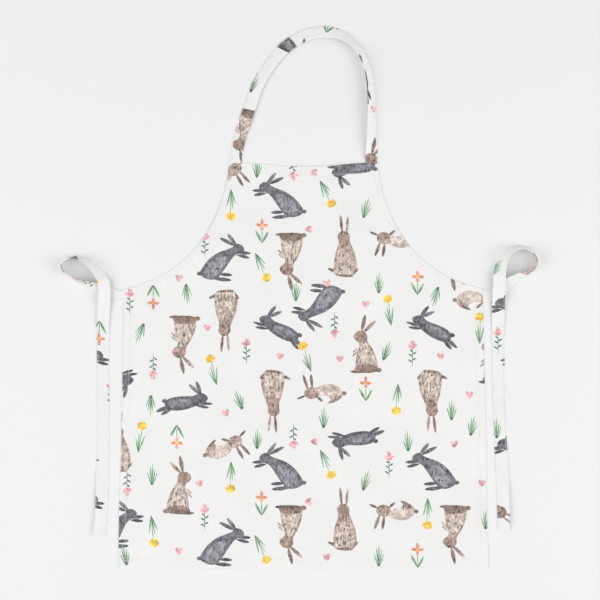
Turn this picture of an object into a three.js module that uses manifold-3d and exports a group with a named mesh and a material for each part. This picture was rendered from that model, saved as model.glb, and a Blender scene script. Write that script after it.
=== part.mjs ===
// Bib apron of printed cotton, laid out flat with its printed face up.
// Millimetres. +Z is the printed face, +Y the bib end. The origin lies on the panel's resting
// face, at the middle of the waist line.
import * as THREE from 'three';
import Module from 'manifold-3d';

const wasm = await Module();
wasm.setup();

// Overall sizes of the cut and hemmed panel
const skirtHeight = 537;
const bibHeight = 242;
const waistWidth = 690;
const hemWidth = 713;
const bibWidth = 287;

// The two inner control points of the armhole curve: out from the bib corner, and in from the
// waist corner, each with its height above the waist line
const armholeNearBib = [6.5, 120];
const armholeNearWaist = [-115, 20];
const armholeSteps = 26;
const armholeEndStep = 0.07;

// Cloth layers. The turned-under hem lies below the border of the panel.
const clothThickness = 0.5;
const hemLayer = 0.9;
const layerGap = 0.3;
const borderUnderside = hemLayer + layerGap;
const borderTop = borderUnderside + clothThickness;
const stepWall = 1.2;
const sideGap = 0.4;

// Depth of each turned-under hem
const topHem = 20;
const armholeHem = 10;
const sideHem = 14;
const bottomHem = 14;

// Sewing thread
const threadWidth = 0.8;
const threadHeight = 0.4;
const threadBase = borderTop + layerGap;
const stitchInset = 2.2;

// Neck strap and waist ties, folded double and edge stitched
const strapWidth = 24;
const strapThickness = 1.2;
const neckEndCentre = (bibWidth - strapWidth) / 2;
const neckEndDepth = 24;
const tieEndCentre = -15;
const tieEndDepth = 24;
const boxStitch = 17;
const stationsPerSpan = 9;
const seamGap = 0.4;
const edgeStitchInset = 2;

// Each row of a route ends with the strap's tilt in degrees, 0 flat and 90 on its edge, and the
// height of its lower edge. The neck strap's rows start with a share of its end's distance from
// the middle, and a distance above the bib.
const neckRows = [
  [-1, 0.4, 0, 0], [-0.992, 14, 0, 0], [-0.943, 46, -4, 0], [-0.829, 93, -8, 0],
  [-0.669, 151, -8, 0], [-0.464, 195, -8, 0], [-0.228, 228, -8, 0], [0.023, 246, -8, 0.5],
  [0.312, 252.5, -14, 1], [0.578, 244, -32, 1], [0.783, 222, -48, 0.5], [0.92, 189, -54, 0],
  [0.981, 151, -50, 0], [1.004, 103, -44, 0], [1.004, 58, -34, 0], [1, 20, -12, 0],
  [1, 0.4, 0, 0],
];
const neckRoute = neckRows.map(([share, up, ...lay]) => [
  share * neckEndCentre, bibHeight + up, ...lay,
]);

// The ties' rows start with a distance out from the waist corner, and one above the waist line
const rightTieRows = [
  [1, -15, 0, 0], [9, -14.8, 0, 0], [18, -11.5, 3, 0], [30, -4, 8, 0], [46, 8.5, 22, 0],
  [68, 22, 54, 0], [89, 31, 66, 0], [102, 41, 68, 0], [105.7, 57, 64, 0], [96, 72, 68, 0],
  [76, 79.5, 72, 1], [56, 75, 68, 2.5], [41, 62, 54, 5], [33, 40, 30, 8.5], [31, 7, 9, 10],
  [30.4, -42, 3, 3], [30.2, -85, 0, 0.6], [30.4, -118, 0, 0], [32, -215, 0, 0], [35, -292, 0, 0],
  [38, -350, 4, 0], [40, -418, 14, 0], [41, -468, 8, 0],
];
const leftTieRows = [
  [1, -15, 0, 0], [9, -14.9, 0, 0], [19, -12.5, 3, 0], [32, -8, 8, 0], [48, -2, 24, 0],
  [68, 6, 58, 0], [87, 14, 78, 0], [103, 22.5, 84, 0], [116, 33, 84, 0], [119.5, 46, 84, 0],
  [107, 58.5, 82, 0], [85, 58.5, 76, 1], [64, 47, 62, 3], [48, 29, 42, 5], [39, 10, 20, 7.5],
  [38, -10, 8, 8], [40.5, -46, 3, 3], [42, -88, 0, 0.6], [42, -125, 0, 0], [42, -215, 0, 0],
  [42, -312, 0, 0], [44, -408, 8, 0], [48, -476, 14, 0],
];
const tieRoute = (rows, side) => rows.map(([out, ...rest]) => [
  side * (waistWidth / 2 + out), ...rest,
]);

const cotton = new THREE.MeshStandardMaterial({ color: 0xf0f0ee, roughness: 0.9, metalness: 0 });
const hemCotton = new THREE.MeshStandardMaterial({ color: 0xeeede9, roughness: 0.9, metalness: 0 });
const thread = new THREE.MeshStandardMaterial({ color: 0xfafaf8, roughness: 0.6, metalness: 0 });

// Solids go to manifold-3d as indexed meshes, and come back the same way
function solidFrom(positions, triangles) {
  const mesh = new wasm.Mesh({
    numProp: 3,
    vertProperties: new Float32Array(positions),
    triVerts: new Uint32Array(triangles),
  });
  return new wasm.Manifold(mesh);
}

function meshFrom(solid, name, material) {
  const data = solid.getMesh();
  const geometry = new THREE.BufferGeometry();
  const places = new THREE.BufferAttribute(new Float32Array(data.vertProperties), 3);
  geometry.setAttribute('position', places);
  geometry.setIndex(new THREE.BufferAttribute(new Uint32Array(data.triVerts), 1));
  geometry.computeVertexNormals();
  const mesh = new THREE.Mesh(geometry, material);
  mesh.name = name;
  return mesh;
}

// A flat slab with a polygon outline, given anticlockwise as seen from above
function slab(outline, low, high) {
  const flat = outline.map(([x, y]) => new THREE.Vector2(x, y));
  const caps = THREE.ShapeUtils.triangulateShape(flat, []);
  const n = outline.length;
  const positions = [];
  for (const z of [low, high]) {
    for (const [x, y] of outline) positions.push(x, y, z);
  }
  const triangles = [];
  for (const [a, b, c] of caps) {
    triangles.push(a, c, b);
    triangles.push(a + n, b + n, c + n);
  }
  for (let i = 0; i < n; i += 1) {
    const j = (i + 1) % n;
    triangles.push(i, j, j + n);
    triangles.push(i, j + n, i + n);
  }
  return solidFrom(positions, triangles);
}

function box(x0, x1, y0, y1, z0, z1) {
  return slab([[x0, y0], [x1, y0], [x1, y1], [x0, y1]], z0, z1);
}

// Moves every edge of an anticlockwise polygon inward by its own distance
function insetPolygon(points, distances) {
  const n = points.length;
  const normals = points.map((p, i) => {
    const q = points[(i + 1) % n];
    const length = Math.hypot(q[0] - p[0], q[1] - p[1]);
    return [(p[1] - q[1]) / length, (q[0] - p[0]) / length];
  });
  return points.map((p, i) => {
    const before = (i + n - 1) % n;
    const [ax, ay] = normals[before];
    const [bx, by] = normals[i];
    const [da, db] = [distances[before], distances[i]];
    const cross = ax * by - ay * bx;
    if (Math.abs(cross) < 0.002) return [p[0] + ax * da, p[1] + ay * da];
    return [p[0] + (da * by - db * ay) / cross, p[1] + (db * ax - da * bx) / cross];
  });
}

// Share of the armhole curve at step i. Both end steps are longer than the hems are deep.
function armholeShare(i) {
  if (i === 0) return 0;
  if (i === armholeSteps) return 1;
  return armholeEndStep + (1 - 2 * armholeEndStep) * (i - 1) / (armholeSteps - 2);
}

// Right armhole from the waist corner up to the bib corner
function armhole() {
  const points = [];
  for (let i = 0; i <= armholeSteps; i += 1) {
    const t = 1 - armholeShare(i);
    const s = 1 - t;
    const weights = [s * s * s, 3 * s * s * t, 3 * s * t * t, t * t * t];
    const [bib, waist] = [bibWidth / 2, waistWidth / 2];
    const guides = [
      [bib, bibHeight], [bib + armholeNearBib[0], armholeNearBib[1]],
      [waist + armholeNearWaist[0], armholeNearWaist[1]], [waist, 0],
    ];
    const x = guides.reduce((sum, p, k) => sum + p[0] * weights[k], 0);
    const y = guides.reduce((sum, p, k) => sum + p[1] * weights[k], 0);
    points.push([x, y]);
  }
  return points;
}

const rightArmhole = armhole();
const leftArmhole = rightArmhole.map(([x, y]) => [-x, y]).reverse();
const outline = [
  [-hemWidth / 2, -skirtHeight], [hemWidth / 2, -skirtHeight], ...rightArmhole, ...leftArmhole,
];

// One number for each edge of the outline: bottom, right side, armhole, top, armhole, left side
function perEdge(bottom, side, arm, top) {
  const curve = new Array(armholeSteps).fill(arm);
  return [bottom, side, ...curve, top, ...curve, side];
}

function outlineIn(extra) {
  return insetPolygon(outline, perEdge(
    bottomHem + extra, sideHem + extra, armholeHem + extra, topHem + extra,
  ));
}

function stitchLine(from) {
  return insetPolygon(outline, perEdge(
    bottomHem - stitchInset + from, sideHem - stitchInset + from,
    armholeHem - stitchInset + from, topHem - stitchInset + from,
  ));
}

// The rectangles taken by the sewn-down ends of the neck strap and the ties
function endRectangles(grow) {
  const half = strapWidth / 2 + grow;
  const neckLow = bibHeight - neckEndDepth - grow;
  const edge = waistWidth / 2;
  const found = {};
  for (const [name, sign] of [['left', -1], ['right', 1]]) {
    const middle = sign * neckEndCentre;
    found[`neck_${name}`] = [middle - half, middle + half, neckLow, bibHeight + 2];
    const inner = sign * (edge - tieEndDepth - grow);
    const outer = sign * (edge + 2);
    found[`tie_${name}`] = [
      Math.min(inner, outer), Math.max(inner, outer), tieEndCentre - half, tieEndCentre + half,
    ];
  }
  return found;
}

function withoutEnds(solid, grow) {
  const cuts = Object.values(endRectangles(grow));
  return cuts.reduce((left, [x0, x1, y0, y1]) => left.subtract(box(x0, x1, y0, y1, -1, 4)), solid);
}

// The panel: one cloth, raised by a hem's thickness along its whole border
function frontPanel() {
  const whole = slab(outline, 0, borderTop);
  const far = insetPolygon(outline, perEdge(-5, -5, -5, -5));
  const underside = slab(far, -1, borderUnderside);
  let recess = underside.subtract(slab(outlineIn(sideGap), -2, borderTop));
  let middle = slab(outlineIn(sideGap + stepWall), clothThickness, borderTop + 1);
  for (const [x0, x1, y0, y1] of Object.values(endRectangles(sideGap))) {
    recess = recess.add(box(x0, x1, y0, y1, -1, borderUnderside));
  }
  for (const [x0, x1, y0, y1] of Object.values(endRectangles(sideGap + stepWall))) {
    middle = middle.subtract(box(x0, x1, y0, y1, -1, borderTop + 2));
  }
  return [meshFrom(whole.subtract(recess).subtract(middle), 'front_panel', cotton)];
}

// Index of the first and last outline point of each border run
const armEnd = 2 + armholeSteps;
const borderRuns = {
  bottom: [0, 1],
  right_side: [1, 2],
  right_armhole: [2, armEnd],
  bib_top: [armEnd, armEnd + 1],
  left_armhole: [armEnd + 1, armEnd + 1 + armholeSteps],
  left_side: [armEnd + 1 + armholeSteps, outline.length],
};

// A strip along one border run, between two outlines that match the panel's point for point
function strip(run, outer, inner, low, high) {
  const [first, last] = borderRuns[run];
  const n = outer.length;
  const along = [];
  const back = [];
  for (let i = first; i <= last; i += 1) {
    along.push(outer[i % n]);
    back.unshift(inner[i % n]);
  }
  return slab([...along, ...back], low, high);
}

function trimmed(run, solid) {
  const clear = sideGap;
  const bottomTop = -skirtHeight + bottomHem + clear;
  if (run === 'bottom') return solid;
  let left = withoutEnds(solid, clear);
  left = left.subtract(box(-400, 400, -skirtHeight - 5, bottomTop, -1, 4));
  const edge = waistWidth / 2 - tieEndDepth - clear;
  const tieLow = tieEndCentre - strapWidth / 2 - clear;
  const neckLow = bibHeight - neckEndDepth - clear;
  const inner = neckEndCentre - strapWidth / 2 - clear;
  if (run.endsWith('side')) return left.subtract(box(-400, 400, tieLow, 5, -1, 4));
  if (run === 'bib_top') {
    return left.intersect(box(-inner, inner, 0, bibHeight + 5, -2, 5));
  }
  left = left.subtract(box(-400, 400, neckLow, bibHeight + 5, -1, 4));
  return left.intersect(box(-edge, edge, -40, bibHeight + 5, -2, 5));
}

function turnedHems() {
  const inner = outlineIn(0);
  return Object.keys(borderRuns).map((run) => {
    const full = strip(run, outline, inner, 0, hemLayer);
    return meshFrom(trimmed(run, full), `${run}_hem`, hemCotton);
  });
}

function hemStitching() {
  const outer = stitchLine(0);
  const inner = stitchLine(threadWidth);
  return Object.keys(borderRuns).map((run) => {
    const full = strip(run, outer, inner, threadBase, threadBase + threadHeight);
    return meshFrom(trimmed(run, full), `${run}_stitching`, thread);
  });
}

// The ends of the strap and ties, laid under the cloth's edge and sewn down
function sewnEnds() {
  const rectangles = endRectangles(0);
  const keep = slab(outline, -1, 5);
  const names = {
    neck_left: 'neck_strap_left_end',
    neck_right: 'neck_strap_right_end',
    tie_left: 'left_tie_sewn_end',
    tie_right: 'right_tie_sewn_end',
  };
  return Object.entries(names).map(([key, name]) => {
    const [x0, x1, y0, y1] = rectangles[key];
    const solid = box(x0, x1, y0, y1, 0, hemLayer).intersect(keep);
    return meshFrom(solid, name, hemCotton);
  });
}

function diagonalBar(cx, cy, half, slope) {
  const side = threadWidth / 2 * Math.SQRT1_2;
  const [ax, ay] = [cx - half, cy - half * slope];
  const [bx, by] = [cx + half, cy + half * slope];
  const shift = [side * slope, -side];
  const corners = [
    [ax + shift[0], ay + shift[1]], [bx + shift[0], by + shift[1]],
    [bx - shift[0], by - shift[1]], [ax - shift[0], ay - shift[1]],
  ];
  return slab(corners, threadBase, threadBase + threadHeight);
}

// A square of stitching with a cross in it, through the cloth and the sewn end
function boxStitching(name, cx, cy) {
  const half = boxStitch / 2;
  const low = threadBase;
  const high = threadBase + threadHeight;
  const ring = box(cx - half, cx + half, cy - half, cy + half, low, high).subtract(box(
    cx - half + threadWidth, cx + half - threadWidth,
    cy - half + threadWidth, cy + half - threadWidth, low - 1, high + 1,
  ));
  const reach = half - threadWidth;
  const cross = diagonalBar(cx, cy, reach, 1).add(diagonalBar(cx, cy, reach, -1));
  return meshFrom(ring.add(cross), name, thread);
}

function boxStitches() {
  const neckY = bibHeight - neckEndDepth / 2 - 1;
  const tieX = waistWidth / 2 - tieEndDepth / 2 - 1;
  return [
    boxStitching('neck_left_box_stitching', -neckEndCentre, neckY),
    boxStitching('neck_right_box_stitching', neckEndCentre, neckY),
    boxStitching('left_tie_box_stitching', -tieX, tieEndCentre),
    boxStitching('right_tie_box_stitching', tieX, tieEndCentre),
  ];
}

// Centre, across and face directions at even steps along a route. side is 1 where the strap's
// raised edge is on the left of its run, and -1 where it is on the right.
function stations(route, side) {
  const curve = new THREE.CatmullRomCurve3(
    route.map(([x, y]) => new THREE.Vector3(x, y, 0)), false, 'centripetal',
  );
  const spans = route.length - 1;
  const total = spans * stationsPerSpan;
  const found = [];
  for (let i = 0; i <= total; i += 1) {
    const place = i / stationsPerSpan;
    const k = Math.min(Math.floor(place), spans - 1);
    const f = place - k;
    const ease = f * f * (3 - 2 * f);
    const tilt = THREE.MathUtils.degToRad(THREE.MathUtils.lerp(route[k][2], route[k + 1][2], ease));
    const lift = THREE.MathUtils.lerp(route[k][3], route[k + 1][3], ease);
    const point = curve.getPoint(i / total);
    const along = curve.getTangent(i / total);
    if (i === 0 || i === total) squareOff(along);
    const across = new THREE.Vector3(-along.y * side, along.x * side, 0);
    across.multiplyScalar(Math.cos(tilt)).add(new THREE.Vector3(0, 0, Math.sin(tilt)));
    const face = new THREE.Vector3().crossVectors(along, across).multiplyScalar(side);
    const reach = Math.abs(Math.sin(tilt)) * strapWidth / 2 + Math.cos(tilt) * strapThickness / 2;
    point.z = lift + reach;
    found.push({ point, across, face });
  }
  return found;
}

// Strap ends that meet a cloth edge are cut parallel to it
function squareOff(along) {
  if (Math.abs(along.y) > Math.abs(along.x)) along.set(0, Math.sign(along.y), 0);
  else along.set(Math.sign(along.x), 0, 0);
}

// A ribbon of rectangular section that follows the stations, set off across and along the face
function ribbon(places, side, width, thickness, acrossBy, faceBy) {
  const positions = [];
  for (const { point, across, face } of places) {
    const centre = point.clone().addScaledVector(across, acrossBy).addScaledVector(face, faceBy);
    for (const [a, b] of [[-1, -1], [1, -1], [1, 1], [-1, 1]]) {
      const corner = centre.clone();
      corner.addScaledVector(across, a * width / 2).addScaledVector(face, b * thickness / 2);
      positions.push(corner.x, corner.y, corner.z);
    }
  }
  const triangles = [];
  const quad = (a, b, c, d) => {
    if (side > 0) triangles.push(a, c, b, a, d, c);
    else triangles.push(a, b, c, a, c, d);
  };
  const last = (places.length - 1) * 4;
  quad(0, 1, 2, 3);
  quad(last, last + 3, last + 2, last + 1);
  for (let i = 0; i < last; i += 4) {
    for (let k = 0; k < 4; k += 1) {
      const next = (k + 1) % 4;
      quad(i + k, i + k + 4, i + next + 4, i + next);
    }
  }
  return solidFrom(positions, triangles);
}

function strapAndThread(name, route, side) {
  const places = stations(route, side);
  const cloth = ribbon(places, side, strapWidth, strapThickness, 0, 0);
  const edge = strapWidth / 2 - edgeStitchInset;
  const above = strapThickness / 2 + seamGap + threadHeight / 2;
  const seam = ribbon(places.slice(1, -1), side, threadWidth, threadHeight, edge, above);
  return [
    meshFrom(cloth, name, cotton),
    meshFrom(seam, `${name}_stitching`, thread),
  ];
}

const part = new THREE.Group();
part.name = 'bib_apron';
part.add(
  ...frontPanel(),
  ...turnedHems(),
  ...hemStitching(),
  ...sewnEnds(),
  ...boxStitches(),
  ...strapAndThread('neck_strap', neckRoute, 1),
  ...strapAndThread('left_tie', tieRoute(leftTieRows, -1), -1),
  ...strapAndThread('right_tie', tieRoute(rightTieRows, 1), 1),
);

export default part;
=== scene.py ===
"""Bib apron of printed cotton, laid flat with its printed face up.

The sections follow the sewing: the printed panel, its turned hems, the sewn-down ends of the
straps, the neck strap, the waist ties and the thread, and then the table and the lamps.
"""
import math
import random

import bpy
import numpy as np
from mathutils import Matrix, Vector, geometry


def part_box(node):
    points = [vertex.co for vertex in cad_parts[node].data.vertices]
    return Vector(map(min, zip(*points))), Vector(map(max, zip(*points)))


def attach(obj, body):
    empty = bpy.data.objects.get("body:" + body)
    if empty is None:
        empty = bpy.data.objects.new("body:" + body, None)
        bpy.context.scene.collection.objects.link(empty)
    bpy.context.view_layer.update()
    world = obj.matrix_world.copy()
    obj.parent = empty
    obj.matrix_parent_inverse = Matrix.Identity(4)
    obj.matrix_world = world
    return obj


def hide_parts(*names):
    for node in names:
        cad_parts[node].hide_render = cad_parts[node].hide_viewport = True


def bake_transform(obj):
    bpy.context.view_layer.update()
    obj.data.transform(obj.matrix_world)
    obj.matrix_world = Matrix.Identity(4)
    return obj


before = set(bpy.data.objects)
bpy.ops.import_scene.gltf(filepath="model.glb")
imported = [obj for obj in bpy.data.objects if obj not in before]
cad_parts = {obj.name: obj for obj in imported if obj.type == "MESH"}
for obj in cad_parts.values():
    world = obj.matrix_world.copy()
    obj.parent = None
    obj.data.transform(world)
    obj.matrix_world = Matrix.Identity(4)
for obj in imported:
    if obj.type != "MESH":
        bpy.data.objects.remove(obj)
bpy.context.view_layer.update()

# The camera looks straight down on the middle of the laid apron, with the bib end up. Its long
# lens keeps the cloth in proportion from hem to strap.
camera_data = bpy.data.cameras.new("camera")
camera_data.lens = 74.6
camera_data.sensor_width = 36
camera = bpy.data.objects.new("camera", camera_data)
bpy.context.scene.collection.objects.link(camera)
camera.location = (-0.0068, -0.022, 2.4)
bpy.context.scene.camera = camera


# ---- Front panel -----------------------------------------------------------------------------
# Bib and skirt are one piece of thin plain-weave cotton, screen printed with scattered rabbits,
# flowers, grass and hearts. It lies almost flat: a pressed crease crosses the bib, and the border
# stands up over the hems and strap ends that are folded under it.
MM = 0.001
panel_low, panel_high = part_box("front_panel")
SKIRT_END, BIB_END = panel_low.y, panel_high.y
HEM_HALF, WAIST_HALF, BIB_HALF = panel_high.x, 345 * MM, 143.5 * MM
ARMHOLE_NEAR_BIB = (150 * MM, 120 * MM)
ARMHOLE_NEAR_WAIST = (230 * MM, 20 * MM)
CLOTH = 0.5 * MM
BORDER_RISE = 1.0 * MM
SEAM_INSET = 2.2 * MM
TOP_HEM, ARMHOLE_HEM, SIDE_HEM, BOTTOM_HEM = 20 * MM, 10 * MM, 14 * MM, 14 * MM
END_WIDTH, END_DEPTH = 24 * MM, 24 * MM
NECK_END_X, TIE_END_Y = BIB_HALF - END_WIDTH / 2, -15 * MM


def even_points(corners, spacing):
    """Points along a polyline, about spacing apart, keeping its corners but not its last point."""
    found = []
    for (x0, y0), (x1, y1) in zip(corners, corners[1:]):
        steps = max(1, round(math.hypot(x1 - x0, y1 - y0) / spacing))
        found += [(x0 + (x1 - x0) * i / steps, y0 + (y1 - y0) * i / steps) for i in range(steps)]
    return found


def armhole_curve(steps):
    """Right armhole from the waist corner up to the bib corner."""
    t = 1 - np.linspace(0, 1, steps + 1)
    guides = ((BIB_HALF, BIB_END), ARMHOLE_NEAR_BIB, ARMHOLE_NEAR_WAIST, (WAIST_HALF, 0))
    shares = ((1 - t) ** 3, 3 * (1 - t) ** 2 * t, 3 * (1 - t) * t**2, t**3)
    return sum(np.outer(share, guide) for share, guide in zip(shares, guides))


ARMHOLE_STEPS, OUTLINE_STEP = 90, 5 * MM
right_armhole = [tuple(p) for p in armhole_curve(ARMHOLE_STEPS)]
left_armhole = [(-x, y) for x, y in reversed(right_armhole)]
bottom_left, bottom_right = (-HEM_HALF, SKIRT_END), (HEM_HALF, SKIRT_END)
# Each border run goes anticlockwise, with the depth of the hem turned under it
border_runs = {
    "bottom": ([bottom_left, bottom_right], BOTTOM_HEM),
    "right_side": ([bottom_right, right_armhole[0]], SIDE_HEM),
    "right_armhole": (right_armhole, ARMHOLE_HEM),
    "bib_top": ([right_armhole[-1], left_armhole[0]], TOP_HEM),
    "left_armhole": (left_armhole, ARMHOLE_HEM),
    "left_side": ([left_armhole[-1], bottom_left], SIDE_HEM),
}
panel_outline = [
    p for corners, _ in border_runs.values() for p in even_points(corners, OUTLINE_STEP)
]


def ease(low, high, value):
    """0 below low, 1 above high, and a soft step between them."""
    t = np.clip((value - low) / (high - low), 0, 1)
    return t * t * (3 - 2 * t)


def distance_to_run(places, corners):
    """Distance of each point from a polyline."""
    ends = np.array(corners, float)
    a, b = ends[:-1], ends[1:]
    along = b - a
    best = np.full(len(places), np.inf)
    for start, step in zip(a, along):
        share = np.clip(((places - start) @ step) / (step @ step), 0, 1)
        gap = places - start - share[:, None] * step
        best = np.minimum(best, np.hypot(gap[:, 0], gap[:, 1]))
    return best


def end_patches():
    """Middle of each sewn-down end of a strap or tie, by the name of its part."""
    neck_y = BIB_END - END_DEPTH / 2
    tie_x = WAIST_HALF - END_DEPTH / 2
    return {
        "neck_strap_left_end": (-NECK_END_X, neck_y),
        "neck_strap_right_end": (NECK_END_X, neck_y),
        "left_tie_sewn_end": (-tie_x, TIE_END_Y),
        "right_tie_sewn_end": (tie_x, TIE_END_Y),
    }


WRINKLES, WRINKLE_STEEPNESS = 16, 0.0014
wrinkle_seed = random.Random(11)
wrinkles = []
for _ in range(WRINKLES):
    heading = wrinkle_seed.uniform(0, math.pi)
    wavelength = wrinkle_seed.uniform(90, 320) * MM
    wrinkles.append((
        math.cos(heading) / wavelength, math.sin(heading) / wavelength,
        wrinkle_seed.uniform(0, 1), wavelength * WRINKLE_STEEPNESS,
    ))
# The pressed crease across the bib is a narrow ridge, with a wider hollow just below it
CREASE_Y, CREASE_SLANT = 101 * MM, 0.012
RIDGE_HEIGHT, RIDGE_WIDTH = 0.75 * MM, 2.6 * MM
HOLLOW_DEPTH, HOLLOW_BELOW, HOLLOW_WIDTH = 0.25 * MM, 9 * MM, 7 * MM
MIDDLE_WAVE = 0.5 * MM


def soft_relief(places):
    """Gentle waves of cloth that was folded away and never ironed quite flat."""
    x, y = places[:, 0], places[:, 1]
    waves = sum(
        size * np.sin(math.tau * (x * a + y * b + phase)) for a, b, phase, size in wrinkles
    )
    ridge = RIDGE_HEIGHT * np.exp(-(((y - CREASE_Y - CREASE_SLANT * x) / RIDGE_WIDTH) ** 2))
    hollow = HOLLOW_DEPTH * np.exp(-(((y - CREASE_Y + HOLLOW_BELOW) / HOLLOW_WIDTH) ** 2))
    return np.maximum(waves + MIDDLE_WAVE, 0) + ridge - hollow


# Inside a hem the cloth steps down to the table, and its seam draws it in and puckers it. The
# layers of a hem hold the border stiffer than the rest
STEP_WIDTH, SEAM_GROOVE, SEAM_WIDTH = 2.2 * MM, 0.18 * MM, 1.5 * MM
PUCKERS, PUCKER_SLANT = ((0.16 * MM, 1.9 * MM), (0.12 * MM, 3.1 * MM)), 1.3
OVER_TABLE, LEAST_OVER_TABLE, BORDER_STIFFNESS = 0.1 * MM, 0.03 * MM, 0.7


def panel_height(places):
    """Height of the printed face over the table."""
    places = np.asarray(places, float)
    raised = np.zeros(len(places))
    ripple = np.zeros(len(places))
    for corners, depth in border_runs.values():
        gap = distance_to_run(places, corners)
        raised = np.maximum(raised, 1 - ease(depth - 0.2 * MM, depth + STEP_WIDTH, gap))
        seam = np.exp(-(((gap - depth + SEAM_INSET) / SEAM_WIDTH) ** 2))
        ripple = np.maximum(ripple, seam)
    for x, y in end_patches().values():
        away = np.maximum(np.abs(places[:, 0] - x), np.abs(places[:, 1] - y)) - END_DEPTH / 2
        raised = np.maximum(raised, 1 - ease(-0.3 * MM, 2 * MM, away))
    along = places[:, 0] * PUCKER_SLANT + places[:, 1]
    pucker = sum(size * np.sin(along / spread) for size, spread in PUCKERS)
    slack = 1 - BORDER_STIFFNESS * raised
    height = CLOTH + OVER_TABLE + BORDER_RISE * raised + soft_relief(places) * slack
    return np.maximum(height + ripple * (pucker - SEAM_GROOVE), CLOTH + LEAST_OVER_TABLE)


# How far the laid cloth has slipped from its pattern
BIB_SAG, HEM_BOW, HEM_WAVE, SIDE_WAVE = 6.5 * MM, 2.4 * MM, 0.8 * MM, 0.9 * MM


def settled(places):
    """Plan position after laying down: the bib's top edge sags and the hem bows a little."""
    moved = np.array(places, float)
    x, y = moved[:, 0], moved[:, 1]
    sag = (1 - (x / (NECK_END_X - END_WIDTH / 2)) ** 2).clip(0, 1)
    moved[:, 1] -= ease(90 * MM, 240 * MM, y) * BIB_SAG * sag**1.5
    bow = HEM_BOW * (1 - (x / HEM_HALF) ** 2) + HEM_WAVE * np.sin(x / (38 * MM))
    moved[:, 1] -= ease(300 * MM, 540 * MM, -y) * bow
    moved[:, 0] += ease(60 * MM, 400 * MM, -y) * SIDE_WAVE * np.sin(y / (55 * MM))
    return moved


def strap_mouths(places):
    """1 where a strap or tie comes out from under the border, else 0."""
    x, y = np.abs(places[:, 0]), places[:, 1]
    wide, narrow = END_WIDTH / 2 + 2 * MM, END_WIDTH / 2 + 0.5 * MM
    neck = ease(-wide, -narrow, -np.abs(x - NECK_END_X))
    tie = ease(-wide, -narrow, -np.abs(y - TIE_END_Y))
    return np.maximum(neck * (y > BIB_END - 3 * MM), tie * (x > WAIST_HALF - 3 * MM))


def lay_panel(places, depth):
    """Printed face at depth 0, and the plain face below it. The border's rolled edge goes down
    over the hem, except where a strap comes out from under it."""
    plan = settled(places)
    depth = depth - strap_mouths(places) * max(depth - CLOTH, 0)
    return np.column_stack([plan, panel_height(places) - depth])


# The print's inks, and how each motif is drawn from leaf shapes, ovals and smooth outlines.
# Every shape is [outline, ink at its foot, ink at its head, foot, head, furry].
INKS = {
    "slate": (74, 75, 84), "ash": (146, 148, 155), "smoke": (108, 109, 117),
    "umber": (120, 98, 90), "fawn": (203, 181, 168), "sand": (213, 195, 183),
    "cream": (224, 211, 198), "rust": (163, 134, 121), "moss": (42, 108, 68),
    "leaf": (142, 198, 142), "lemon": (250, 216, 74), "yolk": (240, 180, 40),
    "apricot": (240, 164, 120), "coral": (235, 130, 112), "rose": (231, 158, 165),
    "blush": (238, 188, 191), "sage": (88, 138, 112),
}


def linear(ink):
    """An ink as the shader takes it."""
    channels = np.array(INKS[ink], float) / 255
    return np.where(channels > 0.04045, ((channels + 0.055) / 1.055) ** 2.4, channels / 12.92)


def leaf(x0, y0, x1, y1, width, foot, head, furry=0):
    """A leaf, petal, ear or paw from its foot to its tip."""
    length = math.hypot(x1 - x0, y1 - y0)
    dx, dy = (x1 - x0) / length, (y1 - y0) / length
    sides = []
    for share in (0.06, 0.3, 0.56, 0.82, 0.95):
        half = width / 2 * math.sin(math.pi * share**1.2) ** 0.6
        sides.append((share * length, half))
    ring = [(0, 0), *[(a, -h) for a, h in sides], (length, 0), *[(a, h) for a, h in sides[::-1]]]
    outline = [(x0 + a * dx - h * dy, y0 + a * dy + h * dx) for a, h in ring]
    return [outline, foot, head, (x0, y0), (x1, y1), furry]


def oval(x, y, wide, tall, foot, head, furry=0):
    """A round tail, eye or flower middle."""
    ring = [(x + wide * math.cos(a), y + tall * math.sin(a)) for a in np.linspace(0, math.tau, 13)]
    return [ring[:-1], foot, head, (x, y - tall), (x, y + tall), furry]


def smooth_outline(points, foot, head, furry=1, steps=3):
    """A closed curve through the points."""
    ring = []
    n = len(points)
    for i in range(n):
        p0, p1, p2, p3 = (np.array(points[(i + k - 1) % n], float) for k in range(4))
        for t in np.arange(steps) / steps:
            ring.append(tuple(0.5 * (
                2 * p1 + (p2 - p0) * t + (2 * p0 - 5 * p1 + 4 * p2 - p3) * t**2
                + (3 * p1 - p0 - 3 * p2 + p3) * t**3
            )))
    ys = [y for _, y in ring]
    return [ring, foot, head, (0, min(ys)), (0, max(ys)), furry]


def shrunk(points, share, shift=(0, 0)):
    """An outline drawn in towards its middle, for a lighter patch inside a darker one."""
    middle = np.mean(points, axis=0)
    return [tuple(middle + (np.array(p) - middle) * share + shift) for p in points]


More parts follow.
